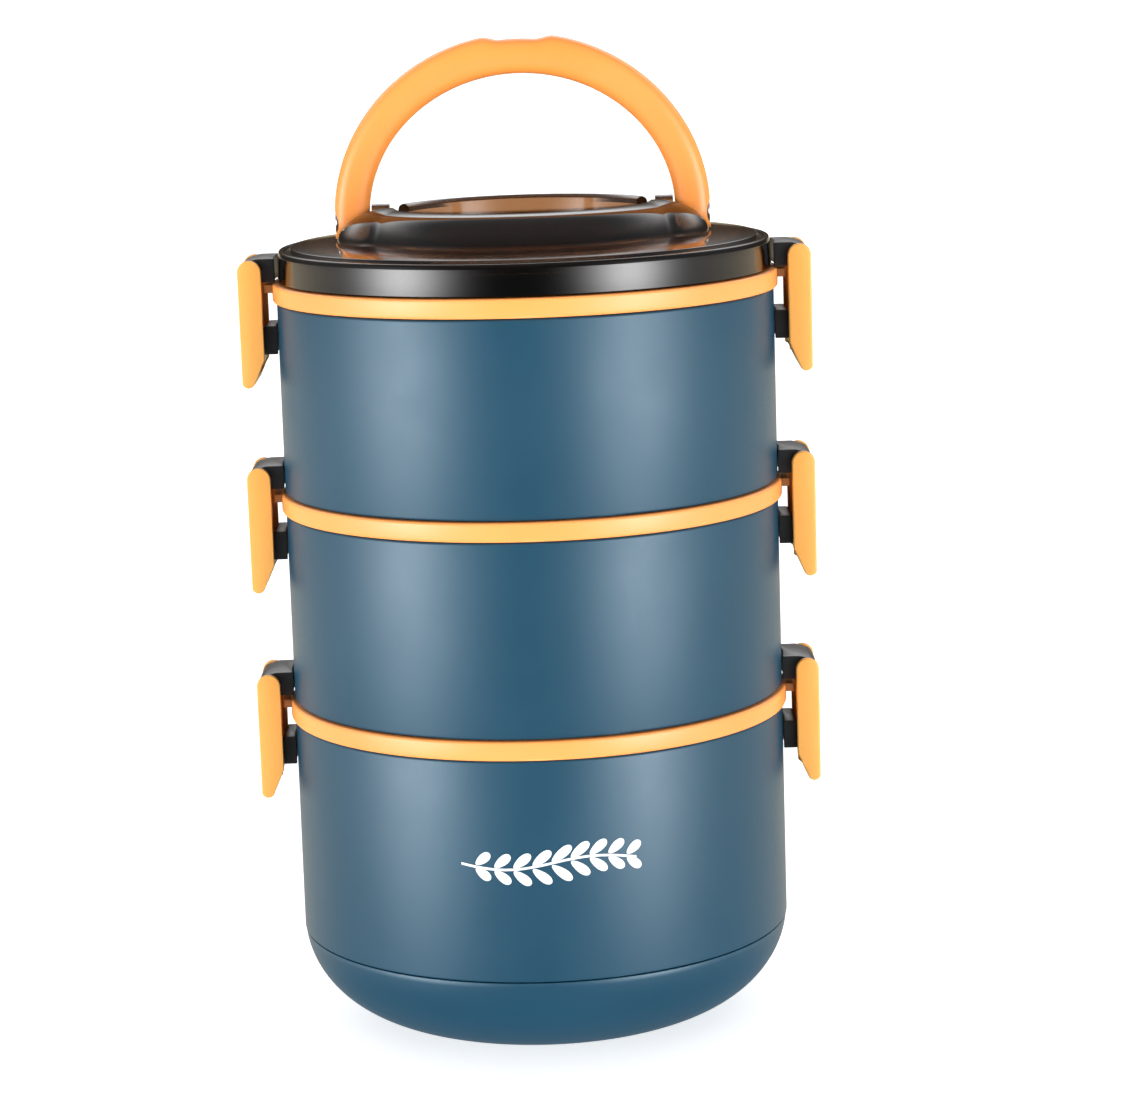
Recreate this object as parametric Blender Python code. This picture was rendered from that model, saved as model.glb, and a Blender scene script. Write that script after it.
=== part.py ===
"""Tiffin carrier: three stacked tiers with steel bowls, a smoked lid, a folding handle and six side latches.

Lengths below are in millimetres and are turned into metres where meshes are made. +Z is up, the latches sit
at +X and -X, and the origin is the centre of the foot.
"""
import math

import bmesh
import bpy
from mathutils import Matrix, Vector

MM = 0.001
SEGMENTS = 36
SMALL_SEGMENTS = 16
GAP = 0.3

# Stack
LOWER_RING_Z = 96.1
TIER_PITCH = 62.8
RING_Z = [LOWER_RING_Z + TIER_PITCH * level for level in range(3)]
RING_R = 75.0
RING_INNER_R = 72.6
RING_HALF = 2.8
RING_CHAMFER = 0.5
RING_LIP = 1.6
RING_LIP_R = 70.2
SEAT = RING_HALF + GAP
TAB_REACH_R = 77.2
TAB_HALF_WIDTH = 6.0
TAB_ROOT_R = RING_R - 1.0
TAB_HALF_HEIGHT = 1.3
TAB_ABOVE_RING = 1.0

# Shells
SHELL_R = 73.8
SHELL_INNER_R = 71.0
NECK_R = 72.3
NECK_TOP = -0.2
EDGE_CHAMFER = 0.6
PLUG_R = 67.5
PLUG_WELL_R = 65.3
PLUG_DEPTH = 3.5
PLUG_FLOOR = 2.2
LEDGE_R = 68.6
LEDGE_HEIGHT = 1.3
WELL_SHOULDER = 6.0

# Base cap: a quarter ellipse from the foot up to just under the widest ring of the shell
SEAM_Z = 27.7
FOOT_R = 39.0
FOOT_RECESS_R = 30.0
FOOT_RECESS_EDGE = 1.0
FOOT_RECESS = 1.2
BASE_R = 73.7
BASE_HEIGHT = 30.0
BASE_WALL = 2.6
SPIGOT_R = 70.7
SPIGOT_INNER_R = 68.9
SPIGOT_TOP = SEAM_Z + 6.0

# Steel bowls: the corner between bottom and side is an ellipse arc, given by its centre and radii
BOWL_WALL = 0.7
BOWL_TOP_R = 70.3
BOWL_SHOULDER = 0.8
BOWL_SHOULDER_RISE = 1.5
BOWL_FLANGE_R = 72.2
BOWL_FLANGE_Z = 0.1
BOWL_NECK = 9.0
LOWER_BOWL_CORNER = ((34.0, 33.0), (33.0, 28.0))
UPPER_BOWL_CORNER_R = 56.5
UPPER_BOWL_CORNER_RISE = 7.4
UPPER_BOWL_RADIUS = 8.2

# Seals
SEAL_R = 69.3
SEAL_HEIGHT = 3.4
SEAL_EDGE = 0.3

# Lid
LID_WALL = 2.2
LID_TOP_Z = RING_Z[2] + 14.2
LID_EDGE_Z = LID_TOP_Z - 2.8
LID_SKIRT_R = 73.3
LID_EDGE_R = 72.9
LID_UNDER_R = 44.0
LID_DOME_R = 58.0
LID_DOME_DROP = 0.3
LID_RIM_R = 69.0
LID_RIM_DROP = 1.2
LID_GROOVE = ((69.7, 0.3), (70.6, 0.2), (71.3, 0.8), (72.3, 0.7))
DRUM_R = 40.5
DRUM_TOP_Z = LID_TOP_Z + 9.3
DRUM_WALL = 2.9
DRUM_FILLET = 3.5
RIM_RADIUS = 1.3
RIM_CENTRE_R = DRUM_R - 1.5
DISH_Z = LID_TOP_Z - 3.0
DISH_R = 34.5
DISH_CORNER = 1.6

# Crest: the thick wall in front of the dish and the handle's legs, and the ears at its two ends
CREST_CORE_R = 36.0
CREST_BASE_Z = LID_TOP_Z - 0.9
CREST_REACH = 14.0
CREST_LEAN = 0.30
CREST_HEIGHT = 10.2
CREST_POWER = 3.2
CREST_INNER_R = DRUM_R - 1.9
CREST_STEPS = 6
EAR_CENTRE = (40.0, -5.0, CREST_BASE_Z)
EAR_RADII = (15.0, 20.0, CREST_HEIGHT)
CREST_BACK_Y = -6.6
BOSS_ROOT = 1.2
BOSS_END_X = 44.6
BORE_START = 0.9
PIVOT_PIN_START = 1.3
NOTCH_Z = DRUM_TOP_Z - 2.6
NOTCH_FRONT_Y = -4.0
NOTCH_REAR_Y = 15.0
NOTCH_INNER_X = 33.0

# Handle
PIVOT_Z = LID_TOP_Z + 5.4
PIVOT_PIN_R = 2.2
PIVOT_HEAD_R = 3.6
PIVOT_HEAD = 1.1
HANDLE_HALF_DEPTH = 5.0
HANDLE_EDGE = 2.0
HANDLE_END_INSET = 0.2
HANDLE_SPRING_Z = PIVOT_Z + 0.7
HANDLE_OUTER = (55.8, 53.1)
HANDLE_INNER = (45.3, 41.3)
GRIP_DIP = 1.6
GRIP_DIP_HALF = 11.0
GRIP_DIP_RAMP = 6.0
HANDLE_STEPS = 32

# Latches, in a frame centred on the hinge pin: u points out from the stack, v points up
PIN_X = 81.0
PIN_ABOVE_RING = (7.5, 7.5, 6.4)
PIN_R = 1.2
PIN_HALF = 11.0
FLAP_HALF_WIDTH = 12.0
FLAP_RIB = 2.0
FLAP_R = 3.5
FLAP_OUTER_CORNER = 2.0
FLAP_PLATE = 2.0
FLAP_PLATE_TOP = -4.0
FLAP_TAPER_V = -25.8
FLAP_TIP_V = -34.2
FLAP_TIP_U = 1.5
FLAP_TIP_R = 2.0
CHANNEL_END_V = FLAP_TIP_V + 3.5
HOOK_TOP_V = -24.9
HOOK_BOTTOM_V = -27.2
HOOK_U = -2.8
LUG_HALF_WIDTH = 9.6
LUG_NOSE_R = 3.2
LUG_ROOT_U = -9.0
LUG_TOP_V = 3.8
LUG_TOP_END_U = -2.2
LUG_ARC_START = 75
CATCH_HALF_WIDTH = 9.0
CATCH_TOP_V = -16.2
CATCH_LIP_V = -22.6
CATCH_BOTTOM_V = -24.6
CATCH_FACE_U = -3.1
CATCH_CHAMFER = 0.8
CATCH_LIP_U = -1.5
WALL_CUT_BELOW = 40.0
WALL_CUT_ABOVE = 20.0

MATERIALS = {
    "shell_teal": ((0.036, 0.108, 0.176), 0.38, 0.0),
    "trim_orange": ((0.991, 0.491, 0.117), 0.35, 0.0),
    "lid_smoke": ((0.018, 0.013, 0.010), 0.12, 0.0),
    "clip_black": ((0.012, 0.012, 0.013), 0.40, 0.0),
    "bowl_steel": ((0.62, 0.62, 0.61), 0.28, 1.0),
    "pin_steel": ((0.50, 0.50, 0.50), 0.30, 1.0),
    "seal_silicone": ((0.80, 0.80, 0.77), 0.55, 0.0),
}


def clear_scene():
    for old in list(bpy.data.objects):
        bpy.data.objects.remove(old, do_unlink=True)


def make_material(name):
    colour, roughness, metallic = MATERIALS[name]
    material = bpy.data.materials.new(name)
    material.use_nodes = True
    shader = material.node_tree.nodes["Principled BSDF"]
    shader.inputs["Base Color"].default_value = (*colour, 1.0)
    shader.inputs["Roughness"].default_value = roughness
    shader.inputs["Metallic"].default_value = metallic
    return material


def arc(centre, radii, start_deg, end_deg, steps):
    """Points on an ellipse arc, both ends included."""
    points = []
    for step in range(steps + 1):
        angle = math.radians(start_deg + (end_deg - start_deg) * step / steps)
        points.append((centre[0] + radii[0] * math.cos(angle), centre[1] + radii[1] * math.sin(angle)))
    return points


def add_object(name, bm, material, origin=(0.0, 0.0, 0.0), sharp_deg=35):
    """Turn a millimetre bmesh into a named object whose origin is at the given point."""
    bmesh.ops.transform(bm, matrix=Matrix.Scale(MM, 4) @ Matrix.Translation(-Vector(origin)), verts=bm.verts)
    mesh = bpy.data.meshes.new(name)
    bm.to_mesh(mesh)
    bm.free()
    mesh.shade_smooth()
    mesh.set_sharp_from_angle(angle=math.radians(sharp_deg))
    obj = bpy.data.objects.new(name, mesh)
    obj.location = Vector(origin) * MM
    bpy.context.collection.objects.link(obj)
    if material:
        mesh.materials.append(material)
    else:
        obj.hide_render = True
        obj.display_type = "WIRE"
    return obj


def revolved_mesh(profile, segments=SEGMENTS):
    """Spin a profile of (radius, z) points about Z; it may be a closed loop or run from axis to axis."""
    bm = bmesh.new()
    verts = [bm.verts.new((radius, 0.0, z)) for radius, z in profile]
    edges = [bm.edges.new(pair) for pair in zip(verts, verts[1:])]
    if profile[0][0] > 0.0:
        edges.append(bm.edges.new((verts[-1], verts[0])))
    bmesh.ops.spin(bm, geom=verts + edges, cent=(0, 0, 0), axis=(0, 0, 1), angle=math.tau, steps=segments)
    bmesh.ops.remove_doubles(bm, verts=bm.verts, dist=0.001)
    bmesh.ops.recalc_face_normals(bm, faces=bm.faces)
    return bm


def prism_mesh(outline, half_width):
    """Extrude an outline of (x, z) points between y = -half_width and y = +half_width."""
    bm = bmesh.new()
    face = bm.faces.new([bm.verts.new((x, -half_width, z)) for x, z in outline])
    grown = bmesh.ops.extrude_face_region(bm, geom=[face])
    moved = [item for item in grown["geom"] if isinstance(item, bmesh.types.BMVert)]
    bmesh.ops.translate(bm, vec=(0.0, 2.0 * half_width, 0.0), verts=moved)
    bmesh.ops.recalc_face_normals(bm, faces=bm.faces)
    return bm


def box_mesh(low, high):
    bm = bmesh.new()
    size = [high[i] - low[i] for i in range(3)]
    middle = [(high[i] + low[i]) / 2 for i in range(3)]
    place = Matrix.Translation(middle) @ Matrix.Diagonal((*size, 1.0))
    bmesh.ops.create_cube(bm, size=1.0, matrix=place)
    return bm


def cylinder_mesh(radius, start, end, axis, segments=SMALL_SEGMENTS):
    """A cylinder from start to end along the X, Y or Z axis."""
    centre = (Vector(start) + Vector(end)) / 2
    turn = {"X": Matrix.Rotation(math.pi / 2, 4, "Y"), "Y": Matrix.Rotation(math.pi / 2, 4, "X"),
            "Z": Matrix.Identity(4)}[axis]
    length = (Vector(end) - Vector(start)).length
    bm = bmesh.new()
    bmesh.ops.create_cone(bm, cap_ends=True, segments=segments, radius1=radius, radius2=radius,
                          depth=length, matrix=Matrix.Translation(centre) @ turn)
    return bm


def boolean(obj, operation, other):
    modifier = obj.modifiers.new(other.name, "BOOLEAN")
    modifier.operation = operation
    modifier.object = other
    modifier.solver = "EXACT"


def sided(points, side):
    """Mirror an outline of (x, z) points to the -X side when side is -1."""
    return [(side * x, z) for x, z in points]


def build_rings(material):
    edge_r = RING_R - RING_CHAMFER
    lip_z = RING_HALF - RING_LIP
    profile = [(RING_INNER_R, -RING_HALF), (edge_r, -RING_HALF), (RING_R, -RING_HALF + RING_CHAMFER),
               (RING_R, RING_HALF - RING_CHAMFER), (edge_r, RING_HALF), (RING_LIP_R, RING_HALF),
               (RING_LIP_R, lip_z), (RING_INNER_R, lip_z)]
    for tier, ring_z in zip(("lower", "middle", "upper"), RING_Z):
        ring = add_object(f"{tier}_ring", revolved_mesh([(r, z + ring_z) for r, z in profile]), material)
        tab_z = ring_z + TAB_ABOVE_RING
        for side, label in ((-1, "left"), (1, "right")):
            low_x, high_x = sorted((side * TAB_ROOT_R, side * TAB_REACH_R))
            tab = add_object(f"{tier}_ring_tab_{label}",
                             box_mesh((low_x, -TAB_HALF_WIDTH, tab_z - TAB_HALF_HEIGHT),
                                      (high_x, TAB_HALF_WIDTH, tab_z + TAB_HALF_HEIGHT)), None)
            boolean(ring, "UNION", tab)


def neck_profile(ring_z):
    """Outside of a shell's top, from the wall up over the neck and back down the inside."""
    shoulder = ring_z - SEAT
    return [(SHELL_R, shoulder - EDGE_CHAMFER), (SHELL_R - EDGE_CHAMFER, shoulder), (NECK_R, shoulder),
            (NECK_R, ring_z + NECK_TOP), (SHELL_INNER_R, ring_z + NECK_TOP)]


def build_upper_shells(material):
    for level, tier in ((1, "middle"), (2, "upper")):
        below = RING_Z[level - 1]
        profile = [(0.0, below - PLUG_DEPTH), (LEDGE_R, below - PLUG_DEPTH),
                   (LEDGE_R, below - PLUG_DEPTH + LEDGE_HEIGHT), (PLUG_R, below - PLUG_DEPTH + LEDGE_HEIGHT),
                   (PLUG_R, below + SEAT), (SHELL_R - EDGE_CHAMFER, below + SEAT),
                   (SHELL_R, below + SEAT + EDGE_CHAMFER)]
        profile += neck_profile(RING_Z[level])
        profile += [(SHELL_INNER_R, below + WELL_SHOULDER), (PLUG_WELL_R, below + WELL_SHOULDER),
                    (PLUG_WELL_R, below - PLUG_DEPTH + PLUG_FLOOR), (0.0, below - PLUG_DEPTH + PLUG_FLOOR)]
        add_object(f"{tier}_shell", revolved_mesh(profile), material)


def build_lower_shell(material):
    profile = [(SHELL_INNER_R, SEAM_Z + GAP), (SHELL_R - EDGE_CHAMFER, SEAM_Z + GAP),
               (SHELL_R, SEAM_Z + GAP + EDGE_CHAMFER)]
    profile += neck_profile(RING_Z[0])
    add_object("lower_shell", revolved_mesh(profile), material)


def build_base(material):
    seam_deg = math.degrees(math.asin((SEAM_Z - BASE_HEIGHT) / BASE_HEIGHT))
    outer = arc((FOOT_R, BASE_HEIGHT), (BASE_R - FOOT_R, BASE_HEIGHT), -90, seam_deg, 5)
    inner = arc((FOOT_R, BASE_HEIGHT), (SPIGOT_INNER_R - FOOT_R, BASE_HEIGHT - BASE_WALL), 0, -90, 4)
    profile = [(0.0, FOOT_RECESS), (FOOT_RECESS_R - FOOT_RECESS_EDGE, FOOT_RECESS), (FOOT_RECESS_R, 0.0)]
    profile += outer
    profile += [(SPIGOT_R, SEAM_Z), (SPIGOT_R, SPIGOT_TOP), (SPIGOT_INNER_R, SPIGOT_TOP)]
    profile += inner
    profile += [(FOOT_RECESS_R, BASE_WALL + FOOT_RECESS), (0.0, BASE_WALL + FOOT_RECESS)]
    add_object("base_cap", revolved_mesh(profile), material)


def bowl_outline(ring_z, neck_z, corner_centre, corner_radii):
    """Outer surface of a bowl, from the axis at the bottom up to the flange."""
    outline = [(0.0, corner_centre[1] - corner_radii[1])]
    outline += arc(corner_centre, corner_radii, -90, 0, 3)
    outline += [(BOWL_TOP_R - BOWL_SHOULDER, neck_z), (BOWL_TOP_R, neck_z + BOWL_SHOULDER_RISE),
                (BOWL_TOP_R, ring_z + BOWL_FLANGE_Z)]
    return outline


def build_bowls(material):
    radii = (UPPER_BOWL_RADIUS, UPPER_BOWL_RADIUS)
    corners = {"lower": LOWER_BOWL_CORNER,
               "middle": ((UPPER_BOWL_CORNER_R, RING_Z[0] + UPPER_BOWL_CORNER_RISE), radii),
               "upper": ((UPPER_BOWL_CORNER_R, RING_Z[1] + UPPER_BOWL_CORNER_RISE), radii)}
    for (tier, (centre, radii)), ring_z in zip(corners.items(), RING_Z):
        neck_z = ring_z - BOWL_NECK
        outer = bowl_outline(ring_z, neck_z, centre, radii)
        flange_z = ring_z + BOWL_FLANGE_Z
        flange = [(BOWL_FLANGE_R, flange_z), (BOWL_FLANGE_R, flange_z + BOWL_WALL)]
        inner_radii = (radii[0] - BOWL_WALL, radii[1] - BOWL_WALL)
        inner = bowl_outline(ring_z + BOWL_WALL, neck_z, centre, inner_radii)
        inner = [inner[0]] + [(r if z < centre[1] else r - BOWL_WALL, z) for r, z in inner[1:]]
        add_object(f"{tier}_bowl", revolved_mesh(outer + flange + inner[::-1]), material)


def build_seals(material):
    for name, ring_z in (("middle_seal", RING_Z[0]), ("upper_seal", RING_Z[1]), ("lid_seal", RING_Z[2])):
        low = ring_z - PLUG_DEPTH + LEDGE_HEIGHT + GAP
        high = low + SEAL_HEIGHT
        profile = [(PLUG_R + GAP, low), (SEAL_R - SEAL_EDGE, low), (SEAL_R, low + SEAL_HEIGHT / 4),
                   (SEAL_R - SEAL_EDGE, high), (PLUG_R + GAP, high)]
        add_object(name, revolved_mesh(profile), material)


def lid_profile():
    """Outline of the lid: dish, drum, domed top, groove and skirt, then the plug underneath."""
    ring_z = RING_Z[2]
    skirt_z = ring_z + SEAT
    ledge_z = ring_z - PLUG_DEPTH + LEDGE_HEIGHT
    under_z = LID_TOP_Z - LID_WALL
    dish_under_z = DISH_Z - LID_WALL
    wall_r = DRUM_R - DRUM_WALL
    rim_centre = (RIM_CENTRE_R, DRUM_TOP_Z - RIM_RADIUS)
    profile = [(0.0, DISH_Z), (DISH_R, DISH_Z), (DISH_R + DISH_CORNER, DISH_Z + DISH_CORNER),
               (wall_r, rim_centre[1])]
    profile += arc(rim_centre, (RIM_RADIUS, RIM_RADIUS), 150, 20, 3)
    profile += [(DRUM_R, rim_centre[1] - RIM_RADIUS)]
    profile += arc((DRUM_R + DRUM_FILLET, LID_TOP_Z + DRUM_FILLET), (DRUM_FILLET, DRUM_FILLET), 180, 270, 3)
    profile += [(LID_DOME_R, LID_TOP_Z - LID_DOME_DROP), (LID_RIM_R, LID_TOP_Z - LID_RIM_DROP)]
    profile += [(radius, LID_EDGE_Z + rise) for radius, rise in LID_GROOVE]
    profile += [(LID_EDGE_R, LID_EDGE_Z), (LID_SKIRT_R, skirt_z), (LID_SKIRT_R - LID_WALL, skirt_z),
                (LID_EDGE_R - LID_WALL, LID_EDGE_Z - LID_WALL), (PLUG_R, LID_EDGE_Z - LID_WALL),
                (PLUG_R, ledge_z), (LEDGE_R, ledge_z), (LEDGE_R, ring_z - PLUG_DEPTH),
                (PLUG_WELL_R, ring_z - PLUG_DEPTH),
                (PLUG_WELL_R, under_z - LID_RIM_DROP), (LID_UNDER_R, under_z), (DRUM_R, under_z),
                (DISH_R + DISH_CORNER, dish_under_z), (0.0, dish_under_z)]
    return profile


def crest_profile():
    """Outline of the crest: a leaning super-ellipse that bulges forward from the dish's wall."""
    points = [(CREST_INNER_R, CREST_BASE_Z)]
    for step in range(CREST_STEPS):
        height = CREST_HEIGHT * math.sin(math.pi / 2 * step / CREST_STEPS)
        share = (1.0 - (height / CREST_HEIGHT) ** CREST_POWER) ** (1.0 / CREST_POWER)
        points.append((CREST_CORE_R + (CREST_REACH - CREST_LEAN * height) * share, CREST_BASE_Z + height))
    points.append((CREST_INNER_R, CREST_BASE_Z + CREST_HEIGHT))
    return points


def ear_mesh(side):
    bm = bmesh.new()
    place = Matrix.Translation((side * EAR_CENTRE[0], EAR_CENTRE[1], EAR_CENTRE[2]))
    bmesh.ops.create_uvsphere(bm, u_segments=24, v_segments=12, radius=1.0,
                              matrix=place @ Matrix.Diagonal((*EAR_RADII, 1.0)))
    return bm


def boss_mesh(side):
    """A tombstone-shaped pivot boss standing between the drum wall and the handle's leg."""
    base_z = LID_TOP_Z - LID_WALL / 2
    outline = [(HANDLE_HALF_DEPTH, base_z)] + arc((0.0, PIVOT_Z), (HANDLE_HALF_DEPTH,) * 2, 0, 180, 8)
    outline += [(-HANDLE_HALF_DEPTH, base_z)]
    inner_x = DRUM_R - BOSS_ROOT
    bm = prism_mesh(outline, (BOSS_END_X - inner_x) / 2)
    turn = Matrix.Rotation(math.pi / 2, 4, "Z")
    place = Matrix.Translation((side * (BOSS_END_X + inner_x) / 2, 0.0, 0.0))
    bmesh.ops.transform(bm, matrix=place @ turn, verts=bm.verts)
    return bm


def build_lid(material):
    lid = add_object("lid_cover", revolved_mesh(lid_profile()), material)
    low, high = RING_Z[2], HANDLE_SPRING_Z + HANDLE_OUTER[1]
    reach = LID_SKIRT_R
    slot = box_mesh((-reach, CREST_BACK_Y, low), (reach, reach, high))
    floor = box_mesh((-reach, -reach, low), (reach, reach, CREST_BASE_Z))
    core = cylinder_mesh(CREST_INNER_R, (0, 0, low), (0, 0, high), "Z", SEGMENTS)
    slot_cut = add_object("crest_slot_cut", slot, None)
    floor_cut = add_object("ear_floor_cut", floor, None)
    core_cut = add_object("ear_core_cut", core, None)
    crest = add_object("crest", revolved_mesh(crest_profile()), None)
    boolean(crest, "DIFFERENCE", slot_cut)
    boolean(lid, "UNION", crest)
    for side, label in ((-1, "left"), (1, "right")):
        ear = add_object(f"ear_{label}", ear_mesh(side), None)
        for trim in (slot_cut, floor_cut, core_cut):
            boolean(ear, "DIFFERENCE", trim)
        boss = add_object(f"boss_{label}", boss_mesh(side), None)
        notch_x = sorted((side * NOTCH_INNER_X, side * (DRUM_R + 1.0)))
        notch = add_object(f"notch_{label}", box_mesh(
            (notch_x[0], NOTCH_FRONT_Y, NOTCH_Z), (notch_x[1], NOTCH_REAR_Y, high)), None)
        bore = add_object(f"boss_bore_{label}", cylinder_mesh(
            PIVOT_PIN_R + GAP, (side * (DRUM_R + BORE_START), 0, PIVOT_Z),
            (side * (BOSS_END_X + 1.0), 0, PIVOT_Z), "X"), None)
        boolean(lid, "UNION", ear)
        boolean(lid, "DIFFERENCE", notch)
        boolean(lid, "UNION", boss)
        boolean(lid, "DIFFERENCE", bore)


def handle_point(radii, angle_deg):
    """Point on one of the handle's two ellipses, with the shallow grip dip along the outer top."""
    angle = math.radians(angle_deg)
    x = radii[0] * math.cos(angle)
    z = HANDLE_SPRING_Z + radii[1] * math.sin(angle)
    if radii is HANDLE_OUTER:
        ramp = min(max((GRIP_DIP_HALF - abs(x)) / GRIP_DIP_RAMP, 0.0), 1.0)
        z -= GRIP_DIP * ramp * ramp * (3.0 - 2.0 * ramp)
    return Vector((x, 0.0, z))


def handle_section(inner, outer):
    """Rounded rectangle between an inner and an outer point, HANDLE_HALF_DEPTH deep each way."""
    across = (outer - inner).normalized()
    half = (outer - inner).length / 2
    centre = (inner + outer) / 2
    points = []
    for corner, (u_sign, y_sign) in enumerate(((1, 1), (-1, 1), (-1, -1), (1, -1))):
        for step in range(2):
            angle = math.radians(90 * corner + 90 * step)
            u = u_sign * (half - HANDLE_EDGE) + HANDLE_EDGE * math.cos(angle)
            y = y_sign * (HANDLE_HALF_DEPTH - HANDLE_EDGE) + HANDLE_EDGE * math.sin(angle)
            points.append(centre + across * u + Vector((0.0, y, 0.0)))
    return points


def handle_mesh():
    """Sweep the section from the left leg's pivot over the bow to the right leg's pivot."""
    drop = Vector((0.0, 0.0, PIVOT_Z - HANDLE_SPRING_Z))
    stations = [(handle_point(HANDLE_INNER, a), handle_point(HANDLE_OUTER, a))
                for a in [180 - 180 * step / HANDLE_STEPS for step in range(HANDLE_STEPS + 1)]]
    stations = ([(stations[0][0] + drop, stations[0][1] + drop)] + stations
                + [(stations[-1][0] + drop, stations[-1][1] + drop)])
    bm = bmesh.new()
    rows = [[bm.verts.new(point) for point in handle_section(*station)] for station in stations]
    for row, following in zip(rows, rows[1:]):
        for index in range(len(row)):
            after = (index + 1) % len(row)
            bm.faces.new((row[index], row[after], following[after], following[index]))
    bm.faces.new(rows[0])
    bm.faces.new(rows[-1])
    bmesh.ops.recalc_face_normals(bm, faces=bm.faces)
    return bm


def build_handle(material, pin_material):
    handle = add_object("handle", handle_mesh(), material, (0.0, 0.0, PIVOT_Z))
    inner_x = HANDLE_INNER[0]
    outer_x = HANDLE_OUTER[0]
    for side, label in ((-1, "left"), (1, "right")):
        end = add_object(f"handle_end_{label}", cylinder_mesh(
            HANDLE_HALF_DEPTH - HANDLE_END_INSET / 4, (side * (inner_x + HANDLE_END_INSET), 0, PIVOT_Z),
            (side * (outer_x - HANDLE_END_INSET), 0, PIVOT_Z), "X"), None)
        bore = add_object(f"handle_bore_{label}", cylinder_mesh(
            PIVOT_PIN_R + GAP, (side * (inner_x - 1), 0, PIVOT_Z),
            (side * (outer_x + 1), 0, PIVOT_Z), "X"), None)
        seat_x = outer_x - PIVOT_HEAD - 2 * GAP
        counterbore = add_object(f"handle_counterbore_{label}", cylinder_mesh(
            PIVOT_HEAD_R + GAP, (side * seat_x, 0, PIVOT_Z), (side * (outer_x + 1), 0, PIVOT_Z), "X"), None)
        boolean(handle, "UNION", end)
        boolean(handle, "DIFFERENCE", bore)
        boolean(handle, "DIFFERENCE", counterbore)
    head_x = outer_x - PIVOT_HEAD - GAP
    start_x = DRUM_R + PIVOT_PIN_START
    profile = [(0.0, start_x), (PIVOT_PIN_R, start_x), (PIVOT_PIN_R, head_x), (PIVOT_HEAD_R, head_x),
               (PIVOT_HEAD_R, outer_x - 2 * GAP), (PIVOT_HEAD_R - GAP, outer_x - GAP), (0.0, outer_x - GAP)]
    for side, label in ((-1, "left"), (1, "right")):
        bm = revolved_mesh(profile, SMALL_SEGMENTS)
        turn = Matrix.Rotation(side * math.pi / 2, 4, "Y")
        bmesh.ops.transform(bm, matrix=Matrix.Translation((0, 0, PIVOT_Z)) @ turn, verts=bm.verts)
        add_object(f"handle_pin_{label}", bm, pin_material, (0.0, 0.0, PIVOT_Z))


def flap_outline():
    """Side view of a latch flap, (u, v) from the pin: rounded top corners and a tapered finger tip."""
    corner = FLAP_R - FLAP_OUTER_CORNER
    outline = arc((corner, corner), (FLAP_OUTER_CORNER,) * 2, 0, 90, 3)
    outline += arc((0.0, 0.0), (FLAP_R,) * 2, 90, 180, 4)
    outline += [(-FLAP_R, FLAP_TAPER_V)]
    outline += arc((FLAP_TIP_U, FLAP_TIP_V + FLAP_TIP_R), (FLAP_TIP_R,) * 2, 205, 340, 3)
    return outline


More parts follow.
